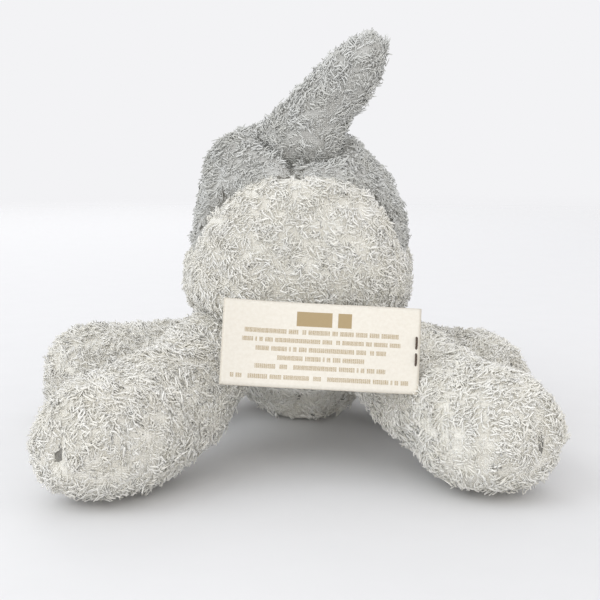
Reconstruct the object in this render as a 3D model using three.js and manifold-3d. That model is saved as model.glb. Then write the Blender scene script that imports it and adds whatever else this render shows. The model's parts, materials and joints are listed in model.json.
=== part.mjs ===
// A plush dog lying on its belly, as a sewn assembly of fabric panels around stuffing.
//
// Millimetres, +Z up. The dog faces -Y and its left side is +X. The origin is on the
// ground, in the middle of the flat patch of belly that the dog rests on.
// Every fabric panel is a thin shell, every stuffing is a separate solid inside it, and
// each limb starts in a ball that turns in a matching pocket of the trunk.
import * as THREE from 'three';
import { mergeVertices } from 'three/addons/utils/BufferGeometryUtils.js';
import Module from 'manifold-3d';

const wasm = await Module();
wasm.setup();

// ---- driving dimensions ----
const fabric = 2.0; // thickness of a fabric panel, backing and short pile together
const seamGap = 0.3; // between panels that are sewn edge to edge, and around stuffing
const pocketGap = 0.8; // between a limb's ball and its pocket in the trunk
const seamShift = 3; // the back seam runs this far left of the middle

const trunk = { rumpWidth: 82, rumpHeight: 97, rumpY: 57, rumpZ: 68, chestWidth: 74, chestHeight: 80, flattened: 4 };
const hindLeg = { reach: 62, ballRadius: 16, calfRadius: 19.5, pawRadius: 19.5 };
const tuckedHindLeg = { ...hindLeg, reach: 57 }; // the right one is pushed in towards the rump
const frontLeg = { reach: 51, ballRadius: 15, calfRadius: 18.5, pawRadius: 19 };
const tailSize = { rise: 31, lean: 21.6, rootRadius: 12.4, tipRadius: 6.9 };
const headRadius = 34;
const muzzle = { width: 38, height: 31, length: 15 };
const ear = { length: 40, width: 28, thickness: 2.2 };
const label = { length: 62, height: 27, thickness: 0.5, curl: 3, tilt: 3, lean: 15 };
const eyeRadius = 4.6;
const noseRadius = 6.2;
const washerThickness = 1.2;
const postRadius = 1.6;
const threadRadius = 0.45;
const threadLift = threadRadius + 0.7; // from the fabric's surface to the middle of a thread on it
const gussetWidth = 19; // the grey strip over the middle of the head

// ---- places worked out from the sizes ----
const X = new THREE.Vector3(1, 0, 0);
const Y = new THREE.Vector3(0, 1, 0);
const Z = new THREE.Vector3(0, 0, 1);
const at = (x, y, z) => new THREE.Vector3(x, y, z);
const degrees = THREE.MathUtils.degToRad;

const rumpTop = trunk.rumpZ + trunk.rumpHeight / 2;
const chestZ = trunk.chestHeight / 2 - trunk.flattened;
const hipInset = 12.5; // from the widest part of the rump in to the ball of the hind leg
const hip = at(trunk.rumpWidth / 2 - hipInset, trunk.rumpY + 17, trunk.rumpZ - 32);
const shoulderInset = 4;
const shoulder = at(trunk.chestWidth / 2 - shoulderInset, 14, chestZ - 12);
const tailSink = 8.5; // from the top of the rump down to the ball of the tail
const tailRoot = at(-2, trunk.rumpY + 8, rumpTop - tailSink);
const headLift = 10; // the clear height under the head
const headCentre = at(0, -headRadius - 24, headRadius + headLift);
const muzzleBack = headCentre.clone().add(at(0, -headRadius * 0.62, -8));
const muzzleFront = muzzleBack.clone().add(at(0, -muzzle.length, -2.5));

// ---- materials ----
const finish = (color, roughness) => new THREE.MeshStandardMaterial({ color, roughness, metalness: 0 });
const greyFabric = finish(0x9fa09e, 0.95);
const paleFabric = finish(0xcbc9c2, 0.95);
const fibre = finish(0xf2f1ec, 1);
const blackPlastic = finish(0x141313, 0.2);
const washerPlastic = finish(0xe4e2da, 0.5);
const satin = finish(0xf3f0ea, 0.5);
const brownThread = finish(0x4a3a2c, 0.8);
const greyThread = finish(0x8d8d8b, 0.8);
const bagCloth = finish(0xe9e6dd, 0.9);

// ---- solids ----
function solid(geometry) {
  const bare = geometry.index ? geometry.clone() : geometry;
  bare.deleteAttribute('normal');
  bare.deleteAttribute('uv');
  const merged = mergeVertices(bare, 1e-4);
  return new wasm.Manifold(new wasm.Mesh({
    numProp: 3,
    vertProperties: new Float32Array(merged.attributes.position.array),
    triVerts: new Uint32Array(merged.index.array),
  }));
}

function geometryOf(body) {
  const { vertProperties, triVerts } = body.getMesh();
  const geometry = new THREE.BufferGeometry();
  geometry.setAttribute('position', new THREE.BufferAttribute(Float32Array.from(vertProperties), 3));
  geometry.setIndex(Array.from(triVerts));
  return geometry;
}

// Half of space: everything on the side of a plane that the direction points to, starting
// half a seam gap away from the plane.
const far = 300;
function side(point, direction, shift = seamGap / 2) {
  const half = new THREE.BoxGeometry(2 * far, 2 * far, 2 * far).translate(0, 0, far + shift);
  half.applyQuaternion(new THREE.Quaternion().setFromUnitVectors(Z, direction.clone().normalize()));
  return solid(half.translate(point.x, point.y, point.z));
}

// The two sides of a seam plane, first the one that the direction points to.
function split(body, point, direction) {
  return [direction, direction.clone().negate()].map((way) => body.intersect(side(point, way)));
}

const ground = side(at(0, 0, 0), Z.clone().negate(), 0);
const groundInside = (inset) => side(at(0, 0, inset), Z.clone().negate(), 0);

function ball(centre, radius, around = 14) {
  const sphere = new THREE.SphereGeometry(radius, around, around / 2);
  return solid(sphere.rotateX(Math.PI / 2).translate(centre.x, centre.y, centre.z));
}

// A solid of revolution about +Z, whose profile is a list of [radius, height], placed
// with its foot at a point and its axis along a direction.
function turned(profile, point, direction, around = 14) {
  const points = profile.map(([r, h]) => new THREE.Vector2(r, h));
  const geometry = new THREE.LatheGeometry(points, around).rotateX(Math.PI / 2);
  geometry.applyQuaternion(new THREE.Quaternion().setFromUnitVectors(Z, direction));
  return solid(geometry.translate(point.x, point.y, point.z));
}

// A stuffed, sausage-like body. Stations give a centre, a half width and a half height;
// the two ends are rounded over the cap lengths. Inset makes the same body that much smaller.
// Facing holds all the sections square to one direction, for a body that bends sharply.
function pod({ stations, caps, around = 12, along = 3, capRings = 2, up = Z, facing }, inset = 0) {
  const spine = new THREE.CatmullRomCurve3(stations.map((s) => s.centre));
  const sizes = new THREE.CatmullRomCurve3(stations.map((s) => at(s.width, s.height, 0)));
  const rings = [];
  const ring = (u, shift, scale) => {
    const tangent = facing ?? spine.getTangent(u);
    const across = new THREE.Vector3().crossVectors(tangent, up).normalize();
    const top = new THREE.Vector3().crossVectors(across, tangent).normalize();
    const centre = spine.getPoint(u).addScaledVector(tangent, shift);
    const size = sizes.getPoint(u);
    const points = [];
    for (let k = 0; k < around; k += 1) {
      const a = (2 * Math.PI * k) / around;
      points.push(centre.clone()
        .addScaledVector(across, Math.cos(a) * (size.x - inset) * scale)
        .addScaledVector(top, Math.sin(a) * (size.y - inset) * scale));
    }
    rings.push(points);
  };
  const pole = (u, shift) => spine.getPoint(u).addScaledVector(facing ?? spine.getTangent(u), shift);
  const [startCap, endCap] = caps.map((cap) => cap - inset);
  for (let k = 1; k <= capRings; k += 1) {
    const a = (Math.PI / 2) * (k / (capRings + 1));
    ring(0, -startCap * Math.cos(a), Math.sin(a));
  }
  for (let k = 0; k <= along; k += 1) ring(k / along, 0, 1);
  for (let k = capRings; k >= 1; k -= 1) {
    const a = (Math.PI / 2) * (k / (capRings + 1));
    ring(1, endCap * Math.cos(a), Math.sin(a));
  }
  const points = [pole(0, -startCap), ...rings.flat(), pole(1, endCap)];
  const last = points.length - 1;
  const faces = [];
  for (let k = 0; k < around; k += 1) {
    const next = (k + 1) % around;
    faces.push(0, 1 + k, 1 + next);
    for (let r = 0; r < rings.length - 1; r += 1) {
      const a = 1 + r * around;
      const b = a + around;
      faces.push(a + k, b + k, b + next, a + k, b + next, a + next);
    }
    const end = 1 + (rings.length - 1) * around;
    faces.push(last, end + next, end + k);
  }
  const geometry = new THREE.BufferGeometry();
  geometry.setAttribute('position', new THREE.Float32BufferAttribute(points.flatMap((p) => p.toArray()), 3));
  geometry.setIndex(faces);
  return solid(geometry);
}

const group = new THREE.Group();

function add(name, body, material) {
  const mesh = new THREE.Mesh(geometryOf(body), material);
  mesh.name = name;
  group.add(mesh);
}

// ---- shapes that more than one piece shares ----
const station = (x, y, z, width, height) => ({ centre: at(x, y, z), width, height });

const trunkPod = {
  stations: [
    station(0, trunk.rumpY + 21, trunk.rumpZ - 5, trunk.rumpWidth / 2 - 6, trunk.rumpHeight / 2 - 9),
    station(0, trunk.rumpY, trunk.rumpZ, trunk.rumpWidth / 2, trunk.rumpHeight / 2),
    station(0, trunk.rumpY / 2, (trunk.rumpZ + chestZ) / 2, trunk.rumpWidth / 2 - 1, trunk.chestHeight / 2 + 5.5),
    station(0, 0, chestZ, trunk.chestWidth / 2, trunk.chestHeight / 2),
    station(0, -18, chestZ + 1, trunk.chestWidth / 2 - 6, trunk.chestHeight / 2 - 7),
  ],
  caps: [17, 17],
  facing: Y.clone().negate(),
  around: 20,
  along: 8,
};

// A leg from the centre of its ball to its paw, which lies on the ground a reach away.
// Sweep is the angle that it points at in the ground plane, from the dog's left towards
// its tail. The leg droops, so most of its fall is near the ball.
function legPod(size, centre, sweep) {
  const drop = centre.z - size.pawRadius + 0.5;
  const level = Math.sqrt(size.reach ** 2 - drop ** 2);
  const along = (share, fallen) => centre.clone()
    .add(at(share * level * Math.cos(sweep), share * level * Math.sin(sweep), -fallen * drop));
  const round = (point, radius) => ({ centre: point, width: radius, height: radius });
  return {
    stations: [
      round(centre, size.ballRadius),
      round(along(0.35, 0.5), (size.ballRadius + size.calfRadius) / 2),
      round(along(0.7, 0.9), size.calfRadius),
      round(along(1, 1), size.pawRadius),
    ],
    caps: [size.ballRadius, size.pawRadius],
  };
}

// Turns are how far each leg swings about an upright line through its ball, either way.
const mirrored = (point) => at(-point.x, point.y, point.z);
const legs = {
  hind_leg_left: { size: hindLeg, centre: hip, sweep: degrees(57), turns: [-45, 6] },
  hind_leg_right: { size: tuckedHindLeg, centre: mirrored(hip), sweep: degrees(128), turns: [-3, 24] },
  front_leg_left: { size: frontLeg, centre: shoulder, sweep: degrees(13), turns: [-60, 10] },
  front_leg_right: { size: frontLeg, centre: mirrored(shoulder), sweep: degrees(131), turns: [0, 80] },
};

// The tail wags about a line through its ball that runs along the dog.
const tailTurns = [-6, 60];
function tailStation(sideways, upwards, taper) {
  const centre = tailRoot.clone().add(at(-sideways * tailSize.lean, 4 * upwards, upwards * tailSize.rise));
  const radius = THREE.MathUtils.lerp(tailSize.rootRadius, tailSize.tipRadius, taper);
  return { centre, width: radius, height: radius };
}
const tailPod = {
  stations: [
    tailStation(0, 0, 0),
    tailStation(0.22, 0.39, 0.3),
    tailStation(0.71, 0.74, 0.5),
    tailStation(1, 1, 1),
  ],
  caps: [tailSize.rootRadius, tailSize.tipRadius + 0.5],
  up: Y,
};

const muzzlePod = {
  stations: [
    { centre: muzzleBack, width: muzzle.width / 2, height: muzzle.height / 2 },
    { centre: muzzleFront, width: muzzle.width / 2 - 3, height: muzzle.height / 2 - 2 },
  ],
  caps: [8, 10],
  along: 1,
};

// ---- pockets and hollows of the trunk ----
// The neck plug is a cap of stuffing over the head's ball, which turns with the head.
const neckPlug = { thickness: 4, halfAngle: degrees(15), turn: degrees(27) };

// A cone from a point along +Y, for cutting a cap out of a ball.
const cone = (point, halfAngle) => turned([[0, 0], [60 * Math.tan(halfAngle), 60], [0, 60]], point, Y, 20);

const headPocket = ball(headCentre, headRadius + pocketGap, 20);
const plugRadius = headRadius + pocketGap + neckPlug.thickness;
const plugPocket = ball(headCentre, plugRadius + pocketGap, 20)
  .intersect(cone(headCentre, neckPlug.halfAngle + neckPlug.turn));
const legPockets = (gap) => Object.values(legs).flatMap(({ size, centre, sweep, turns }) => [turns[0], 0, turns[1]]
  .map((turn) => pod(legPod(size, centre, sweep + degrees(turn)), -gap)));
const tailTurned = (turn) => ({
  ...tailPod,
  stations: tailPod.stations.map(({ centre, width, height }) => ({
    centre: centre.clone().sub(tailRoot).applyAxisAngle(Y, degrees(turn)).add(tailRoot), width, height,
  })),
});
const tailPockets = (gap) => [tailTurns[0], 0, tailTurns[1]].map((turn) => pod(tailTurned(turn), -gap));
const pockets = (gap) => [...legPockets(gap), ...tailPockets(gap), headPocket, plugPocket];
const stuffingGap = pocketGap + seamGap; // the stuffing stands back behind the edge of a panel
const cut = (body, tools) => tools.reduce((rest, tool) => rest.subtract(tool), body);

// ---- trunk panels ----
const seatArch = { halfWidth: 35, rise: 26, shoulderZ: rumpTop - 44.5, front: trunk.rumpY - 12 };

// The seat panel's outline seen from behind, an arch between two shoulders, as a solid
// that runs back from its front edge.
function seatRegion(grow) {
  const outline = new THREE.Shape();
  const shoulderZ = seatArch.shoulderZ + grow;
  outline.moveTo(-far, -far);
  outline.lineTo(far, -far);
  outline.lineTo(far, shoulderZ);
  outline.absellipse(0, shoulderZ, seatArch.halfWidth + grow, seatArch.rise, 0, Math.PI, false);
  outline.lineTo(-far, shoulderZ);
  const region = new THREE.ExtrudeGeometry(outline, { depth: far, bevelEnabled: false, curveSegments: 12 });
  region.rotateX(Math.PI / 2).translate(0, far + seatArch.front - grow, 0);
  return solid(region);
}

const flank = at(0, seatArch.front, seatArch.shoulderZ - 10);
const flankNormal = at(0, -0.33, 1);
const trunkShell = cut(pod(trunkPod).subtract(ground)
  .subtract(pod(trunkPod, fabric).subtract(groundInside(fabric))), pockets(pocketGap));
add('seat_panel', trunkShell.intersect(seatRegion(-seamGap / 2)), paleFabric);
const aheadOfSeat = side(at(0, seatArch.front, 0), Y.clone().negate(), 0);
const bellyRegion = (shift) => side(flank, flankNormal.clone().negate(), shift).intersect(aheadOfSeat);
const aroundSeat = trunkShell.subtract(seatRegion(seamGap / 2));
add('belly_panel', aroundSeat.intersect(bellyRegion(seamGap / 2)), paleFabric);
const back = aroundSeat.subtract(bellyRegion(-seamGap / 2));
const [backLeft, backRight] = split(back, at(seamShift, 0, 0), X);
add('back_panel_left', backLeft, greyFabric);
add('back_panel_right', backRight, greyFabric);

// ---- trunk filling: fibre, and a bag of beads that keeps the rump down ----
const inside = fabric + seamGap;
const beadBagPod = {
  stations: [
    station(0, trunk.rumpY - 23, 22, 17, 13),
    station(0, trunk.rumpY - 3, 32, 15, 13),
  ],
  caps: [9, 9],
  along: 2,
};
const trunkRoom = pod(trunkPod, inside).subtract(groundInside(inside));
add('bead_bag', pod(beadBagPod).intersect(trunkRoom), bagCloth);
add('trunk_stuffing', cut(trunkRoom, [...pockets(stuffingGap), pod(beadBagPod, -seamGap)]), fibre);

// ---- threads ----
// A round thread along a curve through points.
function thread(points) {
  const section = new THREE.Shape().absarc(0, 0, threadRadius, 0, 2 * Math.PI, false);
  const extrudePath = new THREE.CatmullRomCurve3(points);
  return solid(new THREE.ExtrudeGeometry(section, { steps: 5, extrudePath, curveSegments: 2 }));
}

// A point on a pod's skin: share along its stations, angle round it, lift off the skin.
function onSkin({ stations, up = Z, facing }, share, angle, lift) {
  const spine = new THREE.CatmullRomCurve3(stations.map((s) => s.centre));
  const size = new THREE.CatmullRomCurve3(stations.map((s) => at(s.width, s.height, 0))).getPoint(share);
  const tangent = facing ?? spine.getTangent(share);
  const across = new THREE.Vector3().crossVectors(tangent, up).normalize();
  const top = new THREE.Vector3().crossVectors(across, tangent).normalize();
  return spine.getPoint(share)
    .addScaledVector(across, Math.cos(angle) * (size.x + lift))
    .addScaledVector(top, Math.sin(angle) * (size.y + lift));
}

const closingShares = [0.34, 0.4, 0.46, 0.52, 0.58];
add('closing_thread', thread(closingShares.map((share) => onSkin(trunkPod, share, -Math.PI / 2, threadLift))),
  greyThread);

// ---- legs: an upper and a lower panel round a core, with a thread that shapes the toe ----
for (const [name, { size, centre, sweep }] of Object.entries(legs)) {
  const shape = legPod(size, centre, sweep);
  const paw = shape.stations.at(-1).centre;
  const along = paw.clone().sub(centre).normalize();
  const seamNormal = Z.clone().addScaledVector(along, -along.z);
  const skin = pod(shape).subtract(ground).subtract(pod(shape, fabric).subtract(groundInside(fabric)));
  const [upper, lower] = split(skin, centre, seamNormal);
  add(`${name}_upper`, upper, paleFabric);
  add(`${name}_lower`, lower, paleFabric);
  add(`${name}_stuffing`, pod(shape, inside).subtract(groundInside(inside)), fibre);
  const toe = [-0.1, 0.15, 0.4, 0.65].map((lift) => paw.clone()
    .addScaledVector(at(Math.cos(sweep), Math.sin(sweep), 0), (size.pawRadius + threadLift) * Math.cos(lift))
    .addScaledVector(Z, (size.pawRadius + threadLift) * Math.sin(lift)));
  add(`${name}_toe_thread`, thread(toe), greyThread);
}

// ---- tail ----
const tailTip = tailPod.stations.at(-1).centre;
const tailAlong = tailTip.clone().sub(tailRoot).normalize();
const tailSkin = pod(tailPod).subtract(pod(tailPod, fabric));
const tailSeam = X.clone().addScaledVector(tailAlong, -tailAlong.x);
const [tailLeft, tailRight] = split(tailSkin, tailRoot.clone().lerp(tailTip, 0.5), tailSeam);
add('tail_panel_left', tailLeft, greyFabric);
add('tail_panel_right', tailRight, greyFabric);
add('tail_stuffing', pod(tailPod, inside), fibre);

// ---- head ----
const headSolid = (inset) => ball(headCentre, headRadius - inset, 20).add(pod(muzzlePod, inset));
const eyeWay = (way) => at(0.46 * way, -0.72, 0.52).normalize();
const eyeAt = (way) => headCentre.clone().addScaledVector(eyeWay(way), headRadius);
const noseAngle = degrees(40);
const noseWay = at(0, -Math.cos(noseAngle) / 10, Math.sin(noseAngle) / (muzzle.height / 2 - 2)).normalize();
const noseAt = muzzleFront.clone()
  .add(at(0, -10 * Math.cos(noseAngle), (muzzle.height / 2 - 2) * Math.sin(noseAngle)));
const buttons = [
  { name: 'eye_left', point: eyeAt(1), way: eyeWay(1), radius: eyeRadius },
  { name: 'eye_right', point: eyeAt(-1), way: eyeWay(-1), radius: eyeRadius },
  { name: 'nose', point: noseAt, way: noseWay, radius: noseRadius },
];
const washerTop = -inside - 1.9; // flat, so it sits below the curve of the fabric
const washerFoot = washerTop - washerThickness;
const postFoot = washerFoot - 2;
const rod = ({ point, way }, radius, foot, top) => turned([[0, foot], [radius, foot], [radius, top], [0, top]],
  point, way, 12);

let headSkin = headSolid(0).subtract(headSolid(fabric));
let headCore = headSolid(inside);
for (const button of buttons) {
  const { point, way, radius } = button;
  const rim = seamGap + 0.4;
  const dome = [[radius, rim], [radius * 0.93, rim + radius * 0.3], [radius * 0.65, rim + radius * 0.62]];
  const profile = [[0, postFoot], [postRadius, postFoot], [postRadius, rim], ...dome, [0, rim + radius * 0.8]];
  add(button.name, turned(profile, point, way, 16), blackPlastic);
  const inner = postRadius + seamGap;
  const outer = radius * 0.9;
  const ring = [[inner, washerFoot], [outer, washerFoot], [outer, washerTop], [inner, washerTop], [inner, washerFoot]];
  add(`${button.name}_washer`, turned(ring, point, way, 12), washerPlastic);
  headSkin = headSkin.subtract(rod(button, inner, postFoot - seamGap, 2));
  headCore = headCore.subtract(rod(button, outer + seamGap, postFoot - seamGap, 2));
}
const faceSeam = headCentre.clone().add(at(0, -headRadius * 0.82, 0));
const [skull, snout] = split(headSkin, faceSeam, Y);
const [snoutLeft, snoutRight] = split(snout, headCentre, X);
add('muzzle_panel_left', snoutLeft, paleFabric);
add('muzzle_panel_right', snoutRight, paleFabric);
const [crown, chin] = split(skull, headCentre.clone().add(at(0, 0, -12)), Z);
add('chin_panel', chin, paleFabric);
const [sideLeft, middle] = split(crown, headCentre.clone().add(at(gussetWidth / 2, 0, 0)), X);
const [gusset, sideRight] = split(middle, headCentre.clone().add(at(-gussetWidth / 2, 0, 0)), X);
add('head_panel_left', sideLeft, greyFabric);
add('head_gusset', gusset, greyFabric);
add('head_panel_right', sideRight, greyFabric);
add('head_stuffing', headCore, fibre);
add('neck_stuffing', ball(headCentre, plugRadius, 20).subtract(ball(headCentre, headRadius + pocketGap, 20))
  .intersect(cone(headCentre, neckPlug.halfAngle)), fibre);

// ---- ears: a grey outer and a pale lining, hanging from their top edge ----
function earLeaf(way, offset) {
  const half = ear.width / 2;
  const outline = new THREE.Shape();
  outline.moveTo(-half * 0.5, 0);
  outline.bezierCurveTo(-half, -ear.length * 0.25, -half * 1.15, -ear.length * 0.95, 0, -ear.length);
  outline.bezierCurveTo(half * 1.15, -ear.length * 0.95, half, -ear.length * 0.25, half * 0.5, 0);
  outline.closePath();
  const leaf = new THREE.ExtrudeGeometry(outline, { depth: ear.thickness, bevelEnabled: false, curveSegments: 8 });
  const tilt = degrees(14);
  const outward = at(way * Math.cos(tilt), 0, Math.sin(tilt));
  const upward = at(-way * Math.sin(tilt), 0, Math.cos(tilt));
  leaf.translate(0, 0, headRadius + offset);
  leaf.applyMatrix4(new THREE.Matrix4().makeBasis(at(0, way, 0), upward, outward));
  const root = headCentre.clone().addScaledVector(upward, headRadius * 0.4);
  return solid(leaf.translate(root.x, root.y, root.z));
}
for (const [name, way] of [['left', 1], ['right', -1]]) {
  add(`ear_${name}_lining`, earLeaf(way, 0.5), paleFabric);
  add(`ear_${name}_outer`, earLeaf(way, 0.5 + ear.thickness + seamGap), greyFabric);
}

// ---- care label, tacked to the right hind leg by two stitches at its outer end ----
// Its foot is the middle of the sewn end, which stands off the leg because the label leans.
const labelSeat = { share: 0.455, angle: degrees(53.8), lift: 6.2 };
const labelLeg = legs.hind_leg_right;
const labelFoot = onSkin(legPod(labelLeg.size, labelLeg.centre, labelLeg.sweep),
  labelSeat.share, labelSeat.angle, labelSeat.lift);
function placeLabelPiece(geometry) {
  geometry.rotateX(degrees(label.lean));
  geometry.rotateY(-degrees(label.tilt));
  return solid(geometry.translate(labelFoot.x, labelFoot.y, labelFoot.z));
}
const curlStart = 0.7; // the share of the length at which the free end starts to curl
const labelCurl = (share) => label.curl * Math.max(0, (share - curlStart) / (1 - curlStart)) ** 2;
const shares = Array.from({ length: 11 }, (_, k) => k / 10);
const labelOutline = new THREE.Shape([
  ...shares.map((share) => new THREE.Vector2(label.length * share, labelCurl(share))),
  ...shares.toReversed().map((share) => new THREE.Vector2(label.length * share, labelCurl(share) + label.thickness)),
]);
const labelSheet = new THREE.ExtrudeGeometry(labelOutline, { depth: label.height, bevelEnabled: false });
add('care_label', placeLabelPiece(labelSheet.translate(0, 0, -label.height / 2)), satin);
const stitch = { thickness: 0.7, length: 3.4, fromEnd: 1.2, apart: 5.2 };
for (const [name, way] of [['upper', 1], ['lower', -1]]) {
  const bar = new THREE.BoxGeometry(stitch.thickness, stitch.thickness, stitch.length)
    .translate(stitch.fromEnd, label.thickness + stitch.thickness, (way * stitch.apart) / 2);
  add(`label_stitch_${name}`, placeLabelPiece(bar), brownThread);
}

export default group;
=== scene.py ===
# A curly plush dog lying on its belly, seen from behind, with a care label at its rump.
# Metres, +Z up. The dog faces -Y and its left side is +X.
import json
import math

import bmesh
import bpy
import numpy as np
from mathutils import Matrix, Vector
from mathutils.bvhtree import BVHTree
from mathutils.kdtree import KDTree


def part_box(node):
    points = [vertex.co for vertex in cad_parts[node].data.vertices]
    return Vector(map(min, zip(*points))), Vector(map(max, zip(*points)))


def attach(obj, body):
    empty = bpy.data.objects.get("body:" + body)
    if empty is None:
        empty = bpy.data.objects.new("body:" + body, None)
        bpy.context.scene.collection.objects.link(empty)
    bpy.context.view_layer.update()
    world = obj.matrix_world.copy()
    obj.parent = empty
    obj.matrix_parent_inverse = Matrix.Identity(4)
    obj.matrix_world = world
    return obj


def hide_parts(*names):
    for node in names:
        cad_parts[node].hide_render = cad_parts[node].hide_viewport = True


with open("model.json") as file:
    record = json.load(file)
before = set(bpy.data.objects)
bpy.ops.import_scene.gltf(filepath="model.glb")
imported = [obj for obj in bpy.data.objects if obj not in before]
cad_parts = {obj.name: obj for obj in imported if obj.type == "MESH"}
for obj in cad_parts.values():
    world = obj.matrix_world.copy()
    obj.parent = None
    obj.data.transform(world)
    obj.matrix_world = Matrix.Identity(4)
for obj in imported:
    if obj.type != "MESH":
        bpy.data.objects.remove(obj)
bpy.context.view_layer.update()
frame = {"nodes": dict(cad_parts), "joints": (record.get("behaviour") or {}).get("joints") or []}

MM = 0.001
FAR = 30 * MM  # further apart than this, two things have no effect on each other
scene = bpy.context.scene
joints = {joint["name"]: joint for joint in frame["joints"]}


# ---- small helpers ----
def activate(piece):
    bpy.ops.object.select_all(action="DESELECT")
    piece.select_set(True)
    bpy.context.view_layer.objects.active = piece


def apply_modifiers(piece):
    activate(piece)
    for modifier in list(piece.modifiers):
        bpy.ops.object.modifier_apply(modifier=modifier.name)


def new_piece(name, mesh):
    piece = bpy.data.objects.new(name, mesh)
    scene.collection.objects.link(piece)
    return piece


def unit(vectors):
    return vectors / np.maximum(np.linalg.norm(vectors, axis=-1, keepdims=True), 1e-12)


def points_of(piece):
    points = np.empty(len(piece.data.vertices) * 3, np.float32)
    piece.data.vertices.foreach_get("co", points)
    return points.reshape(-1, 3).astype(float)


def set_points(piece, points):
    piece.data.vertices.foreach_set("co", points.astype(np.float32).ravel())
    piece.data.update()


def normals_of(piece):
    normals = np.empty(len(piece.data.vertices) * 3, np.float32)
    piece.data.vertices.foreach_get("normal", normals)
    return unit(normals.reshape(-1, 3).astype(float))


def surface_of(piece):
    return BVHTree.FromPolygons(
        [v.co for v in piece.data.vertices], [tuple(p.vertices) for p in piece.data.polygons]
    )


def distances(points, surface):
    return np.array([surface.find_nearest(Vector(p))[3] for p in points])


def room_to(points, surface, deepest):
    """How far each point is outside a closed surface, negative inside it.

    Near a thin leaf's edge the nearest face can point either way, so a point that seems
    further inside than the deepest that there is counts as outside.
    """
    room = np.full(len(points), FAR)
    for k, point in enumerate(points):
        place, normal, _, distance = surface.find_nearest(Vector(point), FAR)
        if place is not None:
            outside = (Vector(point) - place).dot(normal) > 0 or distance > deepest
            room[k] = distance if outside else -distance
    return room


RIPPLE_WAVES = 7
RIPPLE_PEAK = 2.6  # what brings the sum of the waves to between about -1 and 1


def ripple(points, wavelength, seed):
    """Smooth noise between about -1 and 1, as a sum of waves in random directions."""
    draw = np.random.default_rng(seed)
    waves = unit(draw.normal(size=(RIPPLE_WAVES, 3))) * (2 * np.pi / wavelength)
    waves *= draw.uniform(0.6, 1.4, size=(RIPPLE_WAVES, 1))
    phases = draw.uniform(0, 2 * np.pi, RIPPLE_WAVES)
    return np.sin(points @ waves.T + phases).sum(axis=1) / RIPPLE_PEAK


def bell(distance, width):
    """1 at no distance, and almost nothing at twice the width."""
    return np.exp(-((distance / width) ** 2))


def ramp(values, start, length):
    """0 up to the start and 1 from a length past it."""
    return np.clip((values - start) / length, 0, 1)


def rising(distance, least, length):
    """The least share at no distance, growing to 1 further away."""
    return np.clip(least + distance / length, least, 1)


# ---- shader maths ----
class Reading:
    """A number that varies over a surface. Operators on it add Math nodes."""

    def __init__(self, recipe, socket):
        self.recipe, self.socket = recipe, socket

    def maths(self, operation, *others):
        return self.recipe.number("ShaderNodeMath", {"operation": operation}, [self, *others])

    def reflected(self, operation, other):
        return self.recipe.number("ShaderNodeMath", {"operation": operation}, [other, self])

    def __add__(self, other):
        return self.maths("ADD", other)

    def __radd__(self, other):
        return self.reflected("ADD", other)

    def __sub__(self, other):
        return self.maths("SUBTRACT", other)

    def __rsub__(self, other):
        return self.reflected("SUBTRACT", other)

    def __mul__(self, other):
        return self.maths("MULTIPLY", other)

    def __rmul__(self, other):
        return self.reflected("MULTIPLY", other)

    def __truediv__(self, other):
        return self.maths("DIVIDE", other)

    def __gt__(self, other):
        return self.maths("GREATER_THAN", other)

    def __lt__(self, other):
        return self.maths("LESS_THAN", other)

    def __abs__(self):
        return self.maths("ABSOLUTE")


class Recipe:
    """A material with one Principled shader, and the nodes that feed it."""

    def __init__(self, name, colour, **constants):
        self.material = bpy.data.materials.new(name)
        self.material.use_nodes = True
        self.tree = self.material.node_tree
        self.shader = self.tree.nodes["Principled BSDF"]
        self.shader.inputs["Base Color"].default_value = (*colour, 1)
        for socket, value in constants.items():
            self.shader.inputs[socket.replace("_", " ")].default_value = value

    def node(self, kind, settings=None, inputs=None):
        made = self.tree.nodes.new(kind)
        for setting, value in (settings or {}).items():
            setattr(made, setting, value)
        pairs = inputs.items() if isinstance(inputs, dict) else enumerate(inputs or [])
        for socket, value in pairs:
            if isinstance(value, Reading):
                self.tree.links.new(value.socket, made.inputs[socket])
            else:
                made.inputs[socket].default_value = value
        return made

    def number(self, kind, settings=None, inputs=None, output=0):
        return Reading(self, self.node(kind, settings, inputs).outputs[output])

    def place(self, output="Object"):
        return self.number("ShaderNodeTexCoord", output=output)

    def noise(self, where, scale, detail=2.0, roughness=0.5):
        return self.number(
            "ShaderNodeTexNoise",
            {},
            {"Vector": where, "Scale": scale, "Detail": detail, "Roughness": roughness},
        )

    def wave(self, where, scale, distortion=0.0, direction="X"):
        return self.number(
            "ShaderNodeTexWave",
            {"bands_direction": direction},
            {"Vector": where, "Scale": scale, "Distortion": distortion},
        )

    def smooth(self, value, low, high, to_low=0.0, to_high=1.0):
        return self.number(
            "ShaderNodeMapRange",
            {"interpolation_type": "SMOOTHSTEP"},
            {"Value": value, "From Min": low, "From Max": high, "To Min": to_low, "To Max": to_high},
        )

    def mix(self, share, first, second, blend="MIX"):
        sides = [(*c, 1) if isinstance(c, tuple) else c for c in (first, second)]
        made = self.node("ShaderNodeMix", {"data_type": "RGBA", "blend_type": blend})
        for socket, value in zip((made.inputs[0], made.inputs[6], made.inputs[7]), (share, *sides)):
            if isinstance(value, Reading):
                self.tree.links.new(value.socket, socket)
            else:
                socket.default_value = value
        return Reading(self, made.outputs[2])

    def drive(self, socket, value):
        self.tree.links.new(value.socket, self.shader.inputs[socket])

    def bump(self, height, distance, strength=1.0):
        normal = self.number(
            "ShaderNodeBump", {}, {"Height": height, "Distance": distance, "Strength": strength}
        )
        self.drive("Normal", normal)


def linear(red, green, blue):
    """A colour given as screen values from 0 to 255, as the shader's linear values."""
    return tuple(((c / 255 + 0.055) / 1.055) ** 2.4 for c in (red, green, blue))


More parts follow.
